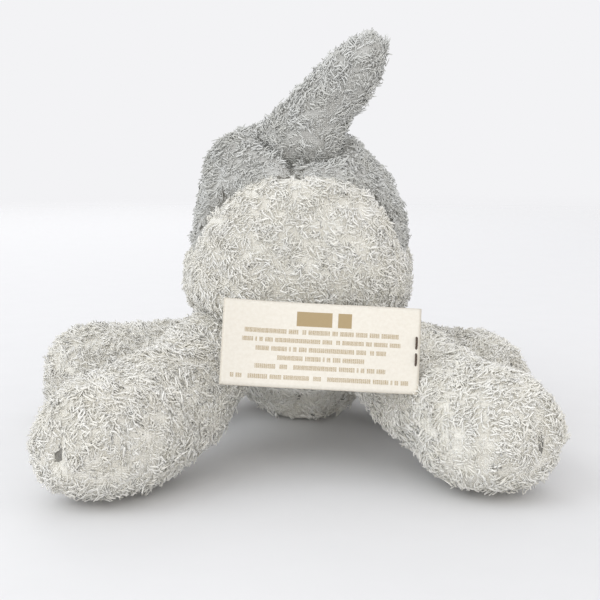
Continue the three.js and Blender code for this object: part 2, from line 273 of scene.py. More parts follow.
# ---- materials ----
PILE_MAP = "OFBake"
SHADES = 64  # how many tints the tufts of a finish have, side by side on the pile's map


def pile_finish(name, tip, root, warm):
    """Curly pile: painted shade darkens each tuft towards its root, and tufts differ a little in tint.
    """
    recipe = Recipe(name, tip, Roughness=0.9, Sheen_Weight=0.5, Sheen_Roughness=0.5)
    uv = recipe.node("ShaderNodeUVMap", {"uv_map": PILE_MAP})
    parts = recipe.node("ShaderNodeSeparateXYZ", {}, {"Vector": Reading(recipe, uv.outputs[0])})
    shade = (Reading(recipe, parts.outputs[0]) * SHADES).maths("FLOOR") / SHADES
    height = Reading(recipe, parts.outputs[1])
    # painted shade: each tuft runs from the darker root colour at its base to the tip colour
    root_shaded_tuft = recipe.mix(recipe.smooth(height, 0.0, 0.6), root, tip)
    tinted = recipe.mix(recipe.smooth(shade, 0.0, 1.0, 0.0, 0.75), root_shaded_tuft, warm, "MULTIPLY")
    recipe.drive("Base Color", tinted)
    return recipe.material


def skin_finish(name, colour, seam_colour):
    """The knitted backing that shows between the tufts."""
    recipe = Recipe(name, colour, Roughness=0.95, Sheen_Weight=0.2)
    where = recipe.place()
    patches = recipe.noise(where, 260.0, 3.0)
    recipe.drive("Base Color", recipe.mix(recipe.smooth(patches, 0.35, 0.7), colour, seam_colour))
    knit = recipe.wave(where, 420.0, 2.0, "Z") + recipe.wave(where, 420.0, 2.0, "X")
    recipe.bump(knit + patches, 0.3 * MM, 0.6)
    return recipe.material


def fibre_finish():
    recipe = Recipe("polyester_fibre", linear(238, 237, 232), Roughness=0.9, Sheen_Weight=0.3)
    where = recipe.place()
    strands = recipe.noise(where, 900.0, 5.0, 0.7)
    recipe.drive("Base Color", recipe.mix(strands, linear(214, 212, 205), linear(246, 245, 241)))
    recipe.bump(strands, 0.4 * MM)
    return recipe.material


def woven_finish(name, colour, dark, pitch, roughness):
    """Plain woven cloth with threads a pitch apart."""
    recipe = Recipe(name, colour, Sheen_Weight=0.15)
    where = recipe.place()
    scale = 0.5 / pitch
    weave = recipe.wave(where, scale, 0.4, "X") * recipe.wave(where, scale, 0.4, "Z")
    cloud = recipe.noise(where, 90.0, 3.0)
    recipe.drive("Base Color", recipe.mix(weave * 0.5 + cloud * 0.5, dark, colour))
    recipe.drive("Roughness", recipe.smooth(cloud, 0.2, 0.8, roughness - 0.08, roughness + 0.08))
    recipe.bump(weave, 0.12 * MM, 0.7)
    return recipe.material


def plastic_finish(name, colour, roughness, coat):
    """Moulded plastic with faint handling haze."""
    recipe = Recipe(name, colour, Coat_Weight=coat, Coat_Roughness=0.06)
    where = recipe.place()
    haze = recipe.noise(where, 700.0, 4.0, 0.6)
    recipe.drive("Roughness", recipe.smooth(haze, 0.3, 0.75, roughness, roughness + 0.12))
    recipe.drive("Base Color", recipe.mix(haze, colour, tuple(c * 1.5 + 0.004 for c in colour)))
    recipe.bump(recipe.noise(where, 1500.0), 0.02 * MM, 0.3)
    return recipe.material


def thread_finish(name, colour):
    """Twisted sewing thread."""
    recipe = Recipe(name, colour, Roughness=0.7, Sheen_Weight=0.3)
    where = recipe.place()
    ply = recipe.wave(where, 900.0, 1.5, "DIAGONAL")
    recipe.drive("Base Color", recipe.mix(ply, tuple(c * 0.6 for c in colour), colour))
    recipe.bump(ply, 0.15 * MM)
    return recipe.material


GREY, PALE = "grey", "pale"
# each pile's second colour is its root colour, darker to paint the shade among the tufts
PILE = {
    GREY: pile_finish("grey_pile", linear(224, 225, 223), linear(210, 210, 206), (0.88, 0.87, 0.84)),
    PALE: pile_finish("pale_pile", linear(252, 251, 247), linear(243, 241, 234), (0.93, 0.915, 0.87)),
}
SKIN = {
    GREY: skin_finish("grey_knit", linear(204, 204, 201), linear(186, 185, 181)),
    PALE: skin_finish("pale_knit", linear(243, 241, 234), linear(226, 223, 214)),
}
# painted shade: darker knit for gaping seams, and along sewn creases a stand-in for the hidden thread
# and the crease's shade
SEAM_SHADE_AND_THREAD = skin_finish("seam_backing", linear(150, 148, 142), linear(122, 120, 114))
FIBRE = fibre_finish()
BAG_CLOTH = woven_finish("bag_cloth", linear(232, 229, 219), linear(196, 192, 180), 0.45 * MM, 0.9)
BLACK = plastic_finish("black_plastic", linear(14, 13, 12), 0.14, 0.35)
WASHER = plastic_finish("washer_plastic", linear(226, 223, 213), 0.42, 0.0)
BROWN_THREAD = thread_finish("brown_thread", linear(86, 66, 50))
GREY_THREAD = thread_finish("grey_thread", linear(150, 149, 146))

for node, piece in frame["nodes"].items():
    material = FIBRE
    if node == "bead_bag":
        material = BAG_CLOTH
    elif "washer" in node:
        material = WASHER
    elif node == "neck_stuffing":  # seen at the neck when the head turns
        material = SKIN[GREY]
    elif "thread" in node:
        material = GREY_THREAD
    piece.data.materials.clear()
    piece.data.materials.append(material)


# ---- stuffed skins ----
def copy_of(name, nodes):
    """One new object that holds copies of CAD nodes."""
    work = bmesh.new()
    for node in nodes:
        work.from_mesh(frame["nodes"][node].data)
    bmesh.ops.remove_doubles(work, verts=work.verts, dist=0.01 * MM)
    mesh = bpy.data.meshes.new(name)
    work.to_mesh(mesh)
    work.free()
    return new_piece(name, mesh)


def keep_outside(piece):
    """Drops the little closed bubbles that a remesh leaves inside a body."""
    work = bmesh.new()
    work.from_mesh(piece.data)
    left, islands = set(work.verts), []
    while left:
        island, edge = set(), [left.pop()]
        while edge:
            vertex = edge.pop()
            island.add(vertex)
            near = {e.other_vert(vertex) for e in vertex.link_edges} & left
            left -= near
            edge.extend(near)
        islands.append(island)
    largest = max(islands, key=len)
    bmesh.ops.delete(work, geom=[v for v in work.verts if v not in largest])
    work.to_mesh(piece.data)
    work.free()


CLOTH_FRAMES = 20
LEAST_HELD = 0.02  # a point held by less than this share is left free


def inflate(piece, sewn, cap):
    """Blows a closed skin up as stuffing does, with its sewn lines held, by at most the cap."""
    before = points_of(piece)
    group = piece.vertex_groups.new(name="sewn")
    for vertex in np.flatnonzero(sewn > LEAST_HELD):
        group.add([int(vertex)], float(sewn[vertex]), "REPLACE")
    modifier = piece.modifiers.new("Cloth", "CLOTH")
    cloth = modifier.settings
    cloth.quality = 4
    cloth.mass = 0.3
    cloth.tension_stiffness = cloth.compression_stiffness = 12
    cloth.bending_stiffness = 0.3
    cloth.use_pressure = True
    cloth.uniform_pressure_force = 4
    cloth.vertex_group_mass = group.name
    cloth.effector_weights.gravity = 0
    modifier.point_cache.frame_start, modifier.point_cache.frame_end = 1, CLOTH_FRAMES
    for step in range(1, CLOTH_FRAMES + 1):
        scene.frame_set(step)
    apply_modifiers(piece)
    scene.frame_set(1)
    move = points_of(piece) - before
    size = np.linalg.norm(move, axis=1, keepdims=True)
    set_points(piece, before + move * np.minimum(1, cap / np.maximum(size, 1e-9)))
    piece.vertex_groups.clear()


SMOOTHING = {"factor": 0.5, "iterations": 8}
LUMP_HEIGHT, LUMP_LENGTH = 0.55 * MM, 30 * MM  # soft unevenness of the filling
SLACK = 0.4 * MM  # how far inside its place a skin starts, because it swells
SEWN_WIDTH = 2.2 * MM  # how near a seam the skin is held while it swells
GROOVE_WIDTH = 1.7 * MM
OPEN_DEPTH, OPEN_SHARE = 1.8 * MM, 0.7  # a gaping seam's extra depth, and how far it must gape to get painted shade
# the last number is how near a sewn crease's line the skin is drawn dark, for its hidden thread and
# painted shade
CREASE_DEPTH, CREASE_WIDTH, CREASE_LINE = 2.3 * MM, 2.4 * MM, 0.5 * MM
FLAT_HEIGHT = 0.7 * MM  # the pressed underside, with the pile below it


class Skin:
    """The closed, stuffed skin of one body, and what is near each of its points."""

    def __init__(
        self, body, panels, core, voxel, cap, groove, flow, pile, moves=(), creases=(), parting=None
    ):
        self.body, self.panels, self.flow, self.pile = body, panels, flow, pile
        self.names = list(panels)
        self.trees = [surface_of(frame["nodes"][node]) for node in panels]
        self.piece = copy_of(f"{body}_skin", [*panels, *core])
        self.close(voxel)
        for centre, radius, move in moves:
            self.push(centre, radius, move)
        self.fill(cap)
        self.sew(groove, creases, parting)
        tones = sorted(set(panels.values()))
        self.colour(tones)
        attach(self.piece, body)
        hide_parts(*panels, *core, *creases)

    def close(self, voxel):
        """Makes the panels and the filling one closed skin without steps."""
        remesh = self.piece.modifiers.new("Remesh", "REMESH")
        remesh.mode, remesh.voxel_size = "VOXEL", voxel
        apply_modifiers(self.piece)
        keep_outside(self.piece)
        even = self.piece.modifiers.new("Smooth", "SMOOTH")
        even.factor, even.iterations = SMOOTHING["factor"], SMOOTHING["iterations"]
        apply_modifiers(self.piece)

    def push(self, centre, radius, move):
        """Moves the skin by up to a vector, most at the centre and not at all past the radius."""
        points = points_of(self.piece)
        apart = np.linalg.norm(points - np.array(centre), axis=1) / radius
        share = np.clip(1 - apart**2, 0, 1) ** 2
        set_points(self.piece, points + share[:, None] * np.array(move))

    def fill(self, cap):
        """Gives the skin the filling's lumps, swells it and makes its mesh finer."""
        points = points_of(self.piece)
        lumps = LUMP_HEIGHT * ripple(points, LUMP_LENGTH, len(points)) - SLACK
        set_points(self.piece, points + normals_of(self.piece) * lumps[:, None])
        seam = self.seam_distance(self.panel_distances(points))
        inflate(self.piece, bell(seam, SEWN_WIDTH), cap)
        finer = self.piece.modifiers.new("Subdivision", "SUBSURF")
        finer.levels = finer.render_levels = 1
        apply_modifiers(self.piece)

    def sew(self, groove, creases, parting):
        """Draws the skin in along its seams and at its threads, and presses it flat underneath."""
        points = points_of(self.piece)
        self.near = self.panel_distances(points)
        near_seam = bell(self.seam_distance(self.near), GROOVE_WIDTH)
        self.open = near_seam * (parting(points) if parting else 0)
        self.crease = np.full(len(points), FAR)
        for node in creases:
            apart = distances(points, surface_of(frame["nodes"][node]))
            self.crease = np.minimum(self.crease, apart - apart.min())
        depth = groove * near_seam + OPEN_DEPTH * self.open
        depth += CREASE_DEPTH * bell(self.crease, CREASE_WIDTH)
        points -= normals_of(self.piece) * depth[:, None]
        points[:, 2] = np.maximum(points[:, 2], FLAT_HEIGHT)
        set_points(self.piece, points)
        self.piece.data.shade_smooth()

    def colour(self, tones):
        """Gives each panel's faces its knit, painted shade to gaping seams, and a dark line along each
        sewn crease that stands for its hidden thread and the shade in the crease.
        """
        for tone in tones:
            self.piece.data.materials.append(SKIN[tone])
        self.piece.data.materials.append(SEAM_SHADE_AND_THREAD)
        owner = self.near.argmin(axis=1)
        # faces given painted shade: gaping seams, and the line of each sewn crease, whose thread is
        # hidden
        hollow = (self.open > OPEN_SHARE) | (self.crease < CREASE_LINE)
        for face in self.piece.data.polygons:
            corner = face.vertices[0]
            tone = self.panels[self.names[owner[corner]]]
            face.material_index = len(tones) if hollow[corner] else tones.index(tone)

    def panel_distances(self, points):
        return np.stack([distances(points, tree) for tree in self.trees], axis=1)

    @staticmethod
    def seam_distance(near):
        """How far points are from the nearest seam: the second nearest panel starts there."""
        ordered = np.sort(near, axis=1)
        return ordered[:, 1] - ordered[:, 0]


def flow_along(vector):
    """A comb that is the same all over a body."""
    return lambda points: np.tile(np.array(vector, float), (len(points), 1))


def trunk_flow(points):
    """Down the back and the sides, spreading from the middle line."""
    count = len(points)
    return np.stack([points[:, 0] * 6, np.full(count, 0.35), np.full(count, -1.0)], axis=1)


def trunk_parting(points):
    """Where the seams gape: high on both sides of the seat, and along the back seam by the tail."""
    across, along, height = points.T
    fade = 4 * MM
    sides = ramp(np.abs(across), 20 * MM, fade) * ramp(height, 74 * MM, fade)
    sides *= ramp(along, 56 * MM, fade)
    middle = (np.abs(across - 3 * MM) < 4 * MM) & (height > 97 * MM) & (along > 74 * MM)
    return np.maximum(sides, middle)


head_centre = np.array(joints["head_nod"]["pos_m"])


def head_flow(points):
    """Back from the front of the muzzle."""
    return points - (head_centre + np.array([0, -60 * MM, 5 * MM]))


leg_names = ["hind_leg_left", "hind_leg_right", "front_leg_left", "front_leg_right"]


def leg_flow(leg):
    """The direction from a leg's joint to its middle."""
    low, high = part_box(f"{leg}_stuffing")
    ball = Vector(joints[f"{leg}_swing"]["pos_m"])
    centre = (low + high) / 2
    return (centre - ball).normalized()


# Where a paw bulges: the middle of the bulge, its reach and how far it goes.
PAW_MOVES = {
    "hind_leg_left": [
        ((82 * MM, 128 * MM, 12 * MM), 24 * MM, (2.4 * MM, 0.6 * MM, 0)),
        ((43 * MM, 126 * MM, 8 * MM), 26 * MM, (-2.8 * MM, 1.5 * MM, 0)),
        ((30 * MM, 98 * MM, 10 * MM), 22 * MM, (-2.8 * MM, 1.2 * MM, -1.0 * MM)),
    ],
    "hind_leg_right": [((-45 * MM, 126 * MM, 8 * MM), 24 * MM, (3.4 * MM, 1.8 * MM, -0.5 * MM))],
    "front_leg_right": [((-68 * MM, 52 * MM, 36 * MM), 24 * MM, (0, 0, 3.4 * MM))],
}

skins = {
    "trunk": Skin(
        "trunk",
        {"seat_panel": PALE, "belly_panel": PALE, "back_panel_left": GREY, "back_panel_right": GREY},
        ["trunk_stuffing", "bead_bag"],
        voxel=3.4 * MM,
        cap=1.8 * MM,
        groove=0.9 * MM,
        flow=trunk_flow,
        pile=2.8 * MM,
        moves=[
            ((29 * MM, 62 * MM, 108 * MM), 30 * MM, (4.2 * MM, 0, 3.6 * MM)),
            ((-33 * MM, 62 * MM, 100 * MM), 30 * MM, (2.2 * MM, 0, 0.8 * MM)),
            ((-25 * MM, 95 * MM, 70 * MM), 16 * MM, (-0.5 * MM, 2.2 * MM, 0.5 * MM)),
            ((38 * MM, 55 * MM, 84 * MM), 26 * MM, (-2.4 * MM, 0, 0)),
            ((-40 * MM, 60 * MM, 74 * MM), 24 * MM, (1.4 * MM, 0, 0)),
            ((40 * MM, 60 * MM, 54 * MM), 16 * MM, (2.0 * MM, 0, 0)),
            ((-31 * MM, 88 * MM, 78 * MM), 9 * MM, (0.6 * MM, -2.0 * MM, -0.4 * MM)),
            ((-5 * MM, 24 * MM, 7 * MM), 30 * MM, (0, 1.0 * MM, -6.5 * MM)),
        ],
        creases=["closing_thread"],
        parting=trunk_parting,
    ),
    "tail": Skin(
        "tail",
        {"tail_panel_left": GREY, "tail_panel_right": GREY},
        ["tail_stuffing"],
        voxel=2.0 * MM,
        cap=0.8 * MM,
        groove=0.3 * MM,
        flow=flow_along((-0.55, 0.1, 0.8)),
        pile=3.0 * MM,
        moves=[
            ((9 * MM, 64 * MM, 113 * MM), 14 * MM, (3.4 * MM, 0, 0.4 * MM)),
            ((-26 * MM, 69 * MM, 141 * MM), 14 * MM, (1.0 * MM, 0, -0.2 * MM)),
            ((-2 * MM, 78 * MM, 97 * MM), 13 * MM, (0, -1.0 * MM, 4.5 * MM)),
        ],
    ),
    "head": Skin(
        "head",
        {
            "muzzle_panel_left": PALE,
            "muzzle_panel_right": PALE,
            "chin_panel": PALE,
            "head_panel_left": GREY,
            "head_gusset": GREY,
            "head_panel_right": GREY,
        },
        ["head_stuffing"],
        voxel=2.8 * MM,
        cap=1.2 * MM,
        groove=0.8 * MM,
        flow=head_flow,
        pile=2.8 * MM,
    ),
}
for leg in leg_names:
    skins[leg] = Skin(
        leg,
        {f"{leg}_upper": PALE, f"{leg}_lower": PALE},
        [f"{leg}_stuffing"],
        voxel=2.8 * MM,
        cap=1.2 * MM,
        groove=0.5 * MM,
        flow=flow_along(leg_flow(leg)),
        pile=2.8 * MM,
        moves=PAW_MOVES.get(leg, ()),
        creases=[f"{leg}_toe_thread"],
    )
for side in ("left", "right"):
    skins[f"ear_{side}"] = Skin(
        f"ear_{side}",
        {f"ear_{side}_lining": PALE, f"ear_{side}_outer": GREY},
        [],
        voxel=1.1 * MM,
        cap=0.6 * MM,
        groove=0.3 * MM,
        flow=flow_along((0, 0, -1)),
        pile=2.3 * MM,
    )

surfaces = {body: surface_of(skin.piece) for body, skin in skins.items()}


# ---- curly pile ----
STATIONS = np.array([0.0, 0.46, 0.86, 1.0])  # shares of a tuft's length that its line passes
WIDTHS = np.array([0.8, 1.0, 0.8])  # how wide a tuft is at each station but the last, its tip
THIN, THICK = 0.18, 0.32  # a tuft's least and greatest radius, in millimetres
SIDES = 3
DENSITY = 1.3 / MM**2
MOST_TUFTS = 12000  # in one piece
CLUMP = 6  # how many tufts follow one leader
ASKEW = np.array([0.31, 0.52, 0.79])  # a direction that few tufts lie along
PILE_GROUND = 0.15 * MM  # the lowest that a tuft lies
EAR_DEPTH, BODY_DEPTH = 2.6 * MM, 45 * MM  # how deep a point can lie inside each kind of body


def tuft_faces():
    """One tuft's faces, by corner: its base, the sides between its rings, and its tip."""
    faces = [(0, 2, 1)]
    for ring in range(len(STATIONS) - 2):
        for k in range(SIDES):
            a, b = ring * SIDES + k, ring * SIDES + (k + 1) % SIDES
            faces.append((a, b, b + SIDES, a + SIDES))
    last, tip = (len(STATIONS) - 2) * SIDES, (len(STATIONS) - 1) * SIDES
    faces += [(last + k, last + (k + 1) % SIDES, tip) for k in range(SIDES)]
    return faces


FACES = tuft_faces()


def pile_mesh(name, lines, widths, shades):
    """A mesh of tufts along lines of stations, (tufts, stations, 3)."""
    count = len(lines)
    way = unit(np.gradient(lines, axis=1))
    across = unit(np.cross(way, ASKEW))
    over = np.cross(way, across)
    corners = []
    for ring in range(len(STATIONS) - 1):
        for k in range(SIDES):
            turn = 2 * np.pi * k / SIDES
            offset = across[:, ring] * math.cos(turn) + over[:, ring] * math.sin(turn)
            corners.append(lines[:, ring] + offset * (widths * WIDTHS[ring])[:, None])
    corners.append(lines[:, -1])
    points = np.stack(corners, axis=1)
    points[:, :, 2] = np.maximum(points[:, :, 2], PILE_GROUND)
    each = points.shape[1]
    mesh = bpy.data.meshes.new(name)
    mesh.vertices.add(count * each)
    mesh.vertices.foreach_set("co", points.astype(np.float32).ravel())
    loops = np.concatenate([np.array(face) for face in FACES])
    sizes = np.array([len(face) for face in FACES])
    all_loops = (loops[None, :] + each * np.arange(count)[:, None]).ravel()
    starts = np.concatenate([[0], np.cumsum(sizes)[:-1]])
    all_starts = (starts[None, :] + len(loops) * np.arange(count)[:, None]).ravel()
    mesh.loops.add(len(all_loops))
    mesh.loops.foreach_set("vertex_index", all_loops.astype(np.int32))
    mesh.polygons.add(len(all_starts))
    mesh.polygons.foreach_set("loop_start", all_starts.astype(np.int32))
    mesh.polygons.foreach_set("loop_total", np.tile(sizes, count).astype(np.int32))
    u = np.tile([0.2, 0.5, 0.8], len(STATIONS) - 1)
    v = np.repeat(STATIONS[:-1], SIDES) * 0.96 + 0.02 + np.tile([0, 0.03, 0], len(STATIONS) - 1)
    u, v = np.append(u, 0.5), np.append(v, 0.99)
    uv = np.empty((count, len(loops), 2), np.float32)
    uv[:, :, 0] = (shades[:, None] + u[loops][None, :]) / SHADES
    uv[:, :, 1] = v[loops][None, :]
    layer = mesh.uv_layers.new(name=PILE_MAP)
    layer.data.foreach_set("uv", uv.ravel())
    mesh.polygons.foreach_set("use_smooth", np.ones(len(all_starts), bool))
    mesh.update(calc_edges=True)
    mesh.validate()
    return mesh


def room_around(skin, points):
    """How far points of a skin are from the other bodies' skins."""
    room = np.full(len(points), FAR)
    for body, surface in surfaces.items():
        if body != skin.body:
            deepest = EAR_DEPTH if body.startswith("ear") else BODY_DEPTH
            room = np.minimum(room, room_to(points, surface, deepest))
    return room


def pick_roots(skin, points, draw):
    """Picks where tufts grow, evenly over a skin but fewer where it lies on the ground.

    Gives a function that turns values at the skin's points into values at the tufts' roots.
    """
    mesh = skin.piece.data
    mesh.calc_loop_triangles()
    corners = np.empty(len(mesh.loop_triangles) * 3, np.int32)
    mesh.loop_triangles.foreach_get("vertices", corners)
    corners = corners.reshape(-1, 3)
    a, b, c = (points[corners[:, k]] for k in range(3))
    facing = np.cross(b - a, c - a)
    area = np.linalg.norm(facing, axis=1) / 2
    under = np.clip(-unit(facing)[:, 2] * 1.6 - 0.4, 0, 1)
    low = np.clip(1 - a[:, 2] / (22 * MM), 0, 1)
    weight = area * (1 - 0.75 * under * low)
    count = int(weight.sum() * DENSITY)
    total = np.cumsum(weight)
    pick = (np.arange(count) + draw.random(count)) / count * total[-1]
    face = np.searchsorted(total, pick).clip(0, len(area) - 1)
    s, t = np.sqrt(draw.random(count)), draw.random(count)
    shares = np.stack([1 - s, s * (1 - t), s * t], axis=1)
    return lambda values: np.einsum("nk,nk...->n...", shares, values[corners[face]])


def combed(skin, root, normal, draw, seed):
    """The way each tuft lies: along the body's comb, swirled in large and small eddies."""
    comb = skin.flow(root)
    comb = unit(comb - normal * (comb * normal).sum(axis=1, keepdims=True) + 1e-6)
    side = np.cross(normal, comb)
    swirl = 1.5 * ripple(root, 13 * MM, seed + 1) + 1.1 * ripple(root, 5 * MM, seed + 2)
    swirl = swirl + draw.normal(0, 0.45, len(root))
    return comb * np.cos(swirl)[:, None] + side * np.sin(swirl)[:, None]


def tuft_sizes(skin, root, seam, clear, crease, gape, draw, seed):
    """How long each tuft is: uneven, and shorter by seams, creases and other bodies."""
    size = skin.pile * (1 + 0.22 * ripple(root, 4 * MM, seed + 3) + draw.normal(0, 0.16, len(root)))
    size *= rising(seam, 0.6, 6 * MM) * rising(clear, 0.3, 6 * MM)
    size *= rising(crease, 0.45, 5 * MM) * (1 - 0.7 * gape)
    return np.clip(size, 0.9 * MM, 1.5 * skin.pile)


def curled(root, normal, forward, size, draw, seed):
    """Each tuft's line of stations, which leans over and winds as it goes."""
    count = len(root)
    uneven_lean = 68 + draw.normal(0, 10, count) + 8 * ripple(root, 6 * MM, seed + 4)
    lean = np.radians(np.clip(uneven_lean, 35, 86))
    spin = draw.uniform(3.0, 6.4, count) * np.where(draw.random(count) < 0.5, 1, -1)
    phase = draw.uniform(0, 2 * np.pi, count)
    curl = size * draw.uniform(0.18, 0.4, count)
    t = STATIONS[None, :]
    ahead = size[:, None] * np.sin(lean)[:, None] * t**1.15
    up = size[:, None] * np.cos(lean)[:, None] * t**0.85
    turn = spin[:, None] * t + phase[:, None]
    ahead = ahead + curl[:, None] * (np.cos(turn) - np.cos(phase)[:, None]) * 0.6
    beside = curl[:, None] * (np.sin(turn) - np.sin(phase)[:, None])
    up = np.maximum(up + 0.25 * beside, 0.14 * size[:, None] * t) - 0.5 * MM * (t == 0)
    sideways = np.cross(normal, forward)
    return (
        root[:, None]
        + normal[:, None] * up[..., None]
        + forward[:, None] * ahead[..., None]
        + sideways[:, None] * beside[..., None]
    )


def clumped(root, lines, draw):
    """Draws each tuft towards a leader near it, most at its tip."""
    leaders = np.arange(0, len(root), CLUMP)
    tree = KDTree(len(leaders))
    for k in leaders:
        tree.insert(root[k], int(k))
    tree.balance()
    leader = np.array([tree.find(point)[1] for point in root])
    pull = 0.5 * STATIONS[None, :] ** 1.4 * draw.uniform(0.3, 1.0, len(root))[:, None]
    return lines + pull[..., None] * (lines[leader] - lines)


def part_out(skin, owner, root, lines, widths, shades):
    """Makes the pieces of pile, each of one panel and no more than the most tufts."""
    for index, panel in enumerate(skin.names):
        mine = np.flatnonzero(owner == index)
        if not len(mine):
            continue
        tone = skin.panels[panel]
        order = mine[np.argsort(root[mine, 0])]
        groups = np.array_split(order, math.ceil(len(order) / MOST_TUFTS))
        for number, group in enumerate(groups, 1):
            suffix = f"_{number}" if len(groups) > 1 else ""
            name = f"{panel}_pile{suffix}"
            piece = new_piece(name, pile_mesh(name, lines[group], widths[group], shades[group]))
            piece.data.materials.append(PILE[tone])
            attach(piece, skin.body)


def grow(skin, seed):
    """Covers a skin with tufts, panel by panel: curled, combed along the body and clumped."""
    draw = np.random.default_rng(seed)
    points = points_of(skin.piece)
    at_roots = pick_roots(skin, points, draw)
    root, normal = at_roots(points), unit(at_roots(normals_of(skin.piece)))
    near, clear = at_roots(skin.near), at_roots(room_around(skin, points))
    crease, gape = at_roots(skin.crease), at_roots(skin.open)
    seam = skin.seam_distance(near)
    pressed = (root[:, 2] < 2.2 * MM) & (normal[:, 2] < -0.75)
    parted = (gape > 0.6) & (seam < 0.8 * MM) | (crease < 0.35 * MM)
    keep = (clear > 0.2 * MM) & ~pressed & ~parted
    root, normal, near, clear, seam, crease, gape = (
        x[keep] for x in (root, normal, near, clear, seam, crease, gape)
    )
    forward = combed(skin, root, normal, draw, seed)
    size = tuft_sizes(skin, root, seam, clear, crease, gape, draw, seed)
    lines = clumped(root, curled(root, normal, forward, size, draw, seed), draw)
    widths = draw.uniform(THIN, THICK, len(root)) * MM * np.clip(size / skin.pile, 0.7, 1.1)
    tint = 0.5 + 0.32 * ripple(root, 9 * MM, seed + 5) + draw.normal(0, 0.16, len(root))
    shades = np.clip((tint * SHADES).astype(int), 0, SHADES - 1)
    part_out(skin, near.argmin(axis=1), root, lines, widths, shades)


for order, skin in enumerate(skins.values()):
    grow(skin, 100 * (order + 1))


# ---- care label ----
LABEL = {"length": 62 * MM, "height": 27 * MM, "thickness": 0.25 * MM, "curl": 3 * MM, "curl_start": 0.7}
LABEL_OFF = 0.25 * MM  # how far its middle stands off its foot's plane
LABEL_WAVE, LABEL_DIP = 0.35 * MM, 0.36 * MM
ROW_SHIFT = 17.3  # what sets each row's bars apart from those of the row above
LABEL_TURN = Matrix.Rotation(math.radians(-3), 4, "Y") @ Matrix.Rotation(math.radians(15), 4, "X")
label_foot = Vector(joints["label_lift"]["pos_m"])


def label_place(across, up, out):
    """A point on the label: metres from its sewn end, above its middle and off its face."""
    return LABEL_TURN @ Vector((across, out, up)) + label_foot


def satin_finish():
    """Pale satin with generic gold print: two blocks over rows of bars, with no letters in them."""
    recipe = Recipe("printed_satin", linear(236, 231, 221), Sheen_Weight=0.2)
    parts = recipe.node("ShaderNodeSeparateXYZ", {}, {"Vector": recipe.place("UV")})
    along, up = Reading(recipe, parts.outputs[0]), Reading(recipe, parts.outputs[1])
    length, height = LABEL["length"] / MM, LABEL["height"] / MM
    where = recipe.number("ShaderNodeCombineXYZ", {}, [along * length, up * height, 0.0])
    ink = None
    # a row's middle, half height and half width as shares of the label, its bars' pitch in
    # millimetres, and the share of them that is printed
    rows = [(0.81, 0.085, 0.15, 13.0, 1.0)]
    for middle, half in (
        (0.655, 0.39), (0.553, 0.40), (0.452, 0.33), (0.348, 0.22), (0.243, 0.33), (0.122, 0.45)
    ):
        rows.append((middle, 0.026, half, 0.62, 0.8))
    for number, (middle, tall, half, pitch, cover) in enumerate(rows):
        row = (abs(up - middle) < tall) * (abs(along - 0.5) < half)
        bar = along * (length / pitch) + number * ROW_SHIFT
        chance = recipe.number(
            "ShaderNodeTexWhiteNoise", {"noise_dimensions": "1D"}, {"W": bar.maths("FLOOR")}
        )
        mark = row * (chance < cover) * (bar.maths("FRACT") > 0.14)
        if number:
            strokes = recipe.number(
                "ShaderNodeTexVoronoi",
                {"voronoi_dimensions": "2D", "feature": "DISTANCE_TO_EDGE"},
                {"Vector": where, "Scale": 1.5 / pitch, "Randomness": 0.35},
            )
            mark = mark * (strokes > 0.09)
        ink = mark if ink is None else ink.maths("MAXIMUM", mark)
    cloud = recipe.noise(where, 0.9, 3.0)
    cloth = recipe.mix(cloud, linear(226, 219, 206), linear(242, 238, 229))
    edge = recipe.smooth(abs(along - 0.5), 0.485, 0.5) + recipe.smooth(abs(up - 0.5), 0.485, 0.5)
    cloth = recipe.mix(edge.maths("MINIMUM", 1.0) * 0.35, cloth, linear(196, 184, 160))
    recipe.drive("Base Color", recipe.mix(ink * 0.85, cloth, linear(160, 132, 74)))
    weave = recipe.wave(where, 2.2, 0.3, "X") * 0.5 + recipe.wave(where, 3.1, 0.3, "Y")
    recipe.drive("Roughness", recipe.smooth(cloud, 0.25, 0.75, 0.42, 0.58) - ink * 0.1)
    recipe.bump(weave, 0.035 * MM, 0.5)
    return recipe.material


def care_label():
    columns, rows = 56, 20
    bpy.ops.object.select_all(action="DESELECT")
    bpy.ops.mesh.primitive_grid_add(x_subdivisions=columns, y_subdivisions=rows, size=1)
    piece = bpy.context.active_object
    piece.name = piece.data.name = "care_label_sheet"
    points = points_of(piece)
    share, height = points[:, 0] + 0.5, points[:, 1]
    start = LABEL["curl_start"]
    rise = np.maximum(0, (share - start) / (1 - start)) ** 2 * LABEL["curl"]
    wave = LABEL_WAVE * np.sin(share * 7 + height * 2) * np.clip(share * 4, 0, 1)
    dip = -LABEL_DIP * np.sin(np.pi * share) * (1 - (2 * height) ** 2)
    placed = [
        label_place(s * LABEL["length"], h * LABEL["height"], out + LABEL_OFF)
        for s, h, out in zip(share, height, rise + wave + dip)
    ]
    set_points(piece, np.array([tuple(p) for p in placed]))
    thick = piece.modifiers.new("Solidify", "SOLIDIFY")
    thick.thickness, thick.offset = LABEL["thickness"], 0
    apply_modifiers(piece)
    piece.data.shade_smooth()
    piece.data.materials.append(satin_finish())
    return piece


def tube(name, points, radius, material):
    """A round thread along points, made a mesh."""
    curve = bpy.data.curves.new(name, "CURVE")
    curve.dimensions = "3D"
    curve.bevel_depth, curve.bevel_resolution, curve.use_fill_caps = radius, 2, True
    curve.resolution_u = 6
    spline = curve.splines.new("BEZIER")
    spline.bezier_points.add(len(points) - 1)
    for knot, point in zip(spline.bezier_points, points):
        knot.co = point
        knot.handle_left_type = knot.handle_right_type = "AUTO"
    piece = new_piece(name, curve)
    activate(piece)
    bpy.ops.object.convert(target="MESH")
    piece = bpy.context.active_object
    piece.data.shade_smooth()
    piece.data.materials.clear()
    piece.data.materials.append(material)
    return piece


STITCH_IN, STITCH_APART = 1.2 * MM, 2.6 * MM  # from the sewn end, and from the label's middle
STITCH_ARCH = ((-1.8, 0.1), (-1.3, 0.75), (0, 0.95), (1.3, 0.75), (1.8, 0.1))  # up and out

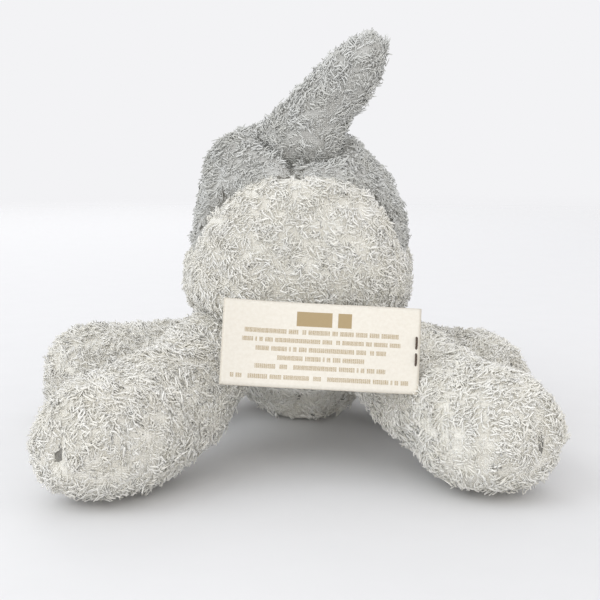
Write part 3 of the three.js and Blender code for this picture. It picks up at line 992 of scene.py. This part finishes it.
label = care_label()
for word, way in (("upper", 1), ("lower", -1)):
    line = [
        label_place(STITCH_IN, way * STITCH_APART + step * MM, out * MM) for step, out in STITCH_ARCH
    ]
    stitch = tube(f"label_stitch_{word}_thread", line, 0.38 * MM, BROWN_THREAD)
    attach(stitch, "label")
    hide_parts(f"label_stitch_{word}")
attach(label, "label")
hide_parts("care_label")


# ---- face: button eyes, a nose and a stitched mouth ----
BUTTON_CUT = -0.3  # where a button's back is cut flat, in radii from its middle


def button(name, node, centre, way, size, overhang):
    """A glossy domed button: a sphere cut flat at the back, its rim rounded, on a short shank."""
    bpy.ops.object.select_all(action="DESELECT")
    bpy.ops.mesh.primitive_uv_sphere_add(segments=40, ring_count=24, radius=1)
    piece = bpy.context.active_object
    piece.name = piece.data.name = name
    bpy.ops.object.mode_set(mode="EDIT")
    bpy.ops.mesh.select_all(action="SELECT")
    bpy.ops.mesh.bisect(plane_co=(0, 0, BUTTON_CUT), plane_no=(0, 0, 1), use_fill=True, clear_inner=True)
    bpy.ops.mesh.bevel(offset=0.09, segments=3)
    bpy.ops.mesh.select_all(action="DESELECT")
    bpy.ops.object.mode_set(mode="OBJECT")
    for face in piece.data.polygons:
        face.select = face.normal.z < -0.9 and face.center.z < BUTTON_CUT + 0.05
    bpy.ops.object.mode_set(mode="EDIT")
    bpy.ops.mesh.inset(thickness=0.55)
    bpy.ops.mesh.extrude_region_move(TRANSFORM_OT_translate={"value": (0, 0, -0.6)})
    bpy.ops.object.mode_set(mode="OBJECT")
    turn = Vector(way).to_track_quat("Z", "Y").to_matrix().to_4x4()
    place = Matrix.Translation(Vector(centre) + Vector(way) * overhang)
    piece.data.transform(place @ turn @ Matrix.Diagonal((*size, 1)))
    piece.data.shade_smooth()
    piece.data.materials.append(BLACK)
    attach(piece, "head")
    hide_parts(node)


HEAD_RADIUS = 34 * MM
NOSE_INSET = 6.5 * MM  # from the nose's front and top to its middle
MOUTH_OFF = 2.3 * MM  # how far the mouth's thread lies off the skin, on the pile
for side, way in (("left", 1), ("right", -1)):
    direction = Vector((0.46 * way, -0.72, 0.52)).normalized()
    button(
        f"eye_{side}_button",
        f"eye_{side}",
        Vector(head_centre) + direction * HEAD_RADIUS,
        direction,
        (4.7 * MM, 4.7 * MM, 3.4 * MM),
        1.1 * MM,
    )
nose_low, nose_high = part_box("nose")
nose_way = Vector((0, -0.64, 0.77)).normalized()
nose_centre = Vector((0, nose_low.y + NOSE_INSET, nose_high.z - NOSE_INSET))
button("nose_button", "nose", nose_centre, nose_way, (7.4 * MM, 5.4 * MM, 4.2 * MM), 1.0 * MM)

# steps across from and down from the nose, in millimetres
mouth_lines = {
    "mouth_middle_thread": [(0, -1), (0, -4), (0, -7.5)],
    "mouth_left_thread": [(0, -7.5), (3.2, -9.2), (6.4, -8.6), (9.0, -6.6)],
    "mouth_right_thread": [(0, -7.5), (-3.2, -9.2), (-6.4, -8.6), (-9.0, -6.6)],
}
muzzle_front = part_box("muzzle_panel_left")[0].y
for name, line in mouth_lines.items():
    knots = []
    for across, down in line:
        start = Vector((across * MM, muzzle_front - 20 * MM, nose_centre.z + (down - 2) * MM))
        place, normal, _, _ = surfaces["head"].ray_cast(start, Vector((0, 1, 0)))
        knots.append(place + normal * MOUTH_OFF)
    thread = tube(name, knots, 0.5 * MM, BROWN_THREAD)
    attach(thread, "head")


# ---- stage: a pale floor, soft lights and the camera ----
FLOOR_RADIUS, FADE_START, FADE_END = 3, 0.45, 1.9
CAMERA_DISTANCE, CAMERA_HEIGHT, CAMERA_TILT = 0.448, 0.109, 8.3  # the tilt is down, in degrees


def studio():
    """A round, flat, pale floor that fades into the air of the studio before its edge."""
    bpy.ops.object.select_all(action="DESELECT")
    bpy.ops.mesh.primitive_circle_add(vertices=128, radius=FLOOR_RADIUS, fill_type="NGON")
    floor = bpy.context.active_object
    floor.name = "studio_floor"
    paper = Recipe("pale_paper", linear(230, 230, 231), Roughness=0.9, Specular_IOR_Level=0.2)
    where = paper.place()
    grain = paper.noise(where, 60.0, 3.0)
    paper.drive("Base Color", paper.mix(grain, linear(229, 229, 230), linear(232, 232, 233)))
    reach = paper.number("ShaderNodeVectorMath", {"operation": "LENGTH"}, [where], output="Value")
    paper.drive("Alpha", paper.smooth(reach, FADE_START, FADE_END, 1.0, 0.0))
    floor.data.materials.append(paper.material)


def soft_light(name, place, target, size, energy, colour):
    lamp = bpy.data.lights.new(name, "AREA")
    lamp.shape, lamp.size, lamp.energy, lamp.color = "DISK", size, energy, colour
    holder = bpy.data.objects.new(name, lamp)
    scene.collection.objects.link(holder)
    holder.location = place
    holder.rotation_euler = (Vector(target) - Vector(place)).to_track_quat("-Z", "Y").to_euler()


studio()
soft_light("window_light", (1.2, 0.7, 1.2), (0, 0.03, 0.05), 1.4, 6.4, (0.9, 0.96, 1.0))
soft_light("warm_fill", (-1.3, 0.7, 0.9), (0, 0.03, 0.05), 1.1, 0.5, (1.0, 0.84, 0.55))
soft_light("rear_light", (0.15, 1.4, 0.8), (0, 0.08, 0.02), 1.2, 2.4, (1.0, 0.97, 0.9))
soft_light("low_light", (0.1, 1.6, 0.22), (0, 0.08, 0.02), 0.5, 2.8, (1.0, 0.97, 0.88))
soft_light("face_light", (0.5, -1.3, 0.9), (0, -0.05, 0.05), 1.0, 4, (1.0, 1.0, 1.0))
world = bpy.data.worlds.new("studio_air")
world.use_nodes = True
world.node_tree.nodes["Background"].inputs["Color"].default_value = (*linear(243, 243, 245), 1)
world.node_tree.nodes["Background"].inputs["Strength"].default_value = 1.0
scene.world = world
scene.view_settings.view_transform = "Standard"

camera_data = bpy.data.cameras.new("camera")
camera_data.lens, camera_data.sensor_width = 66, 36
camera = bpy.data.objects.new("camera", camera_data)
scene.collection.objects.link(camera)
camera.location = (0, CAMERA_DISTANCE, CAMERA_HEIGHT)
camera.rotation_euler = (math.radians(90 - CAMERA_TILT), 0, math.radians(180))
scene.camera = camera
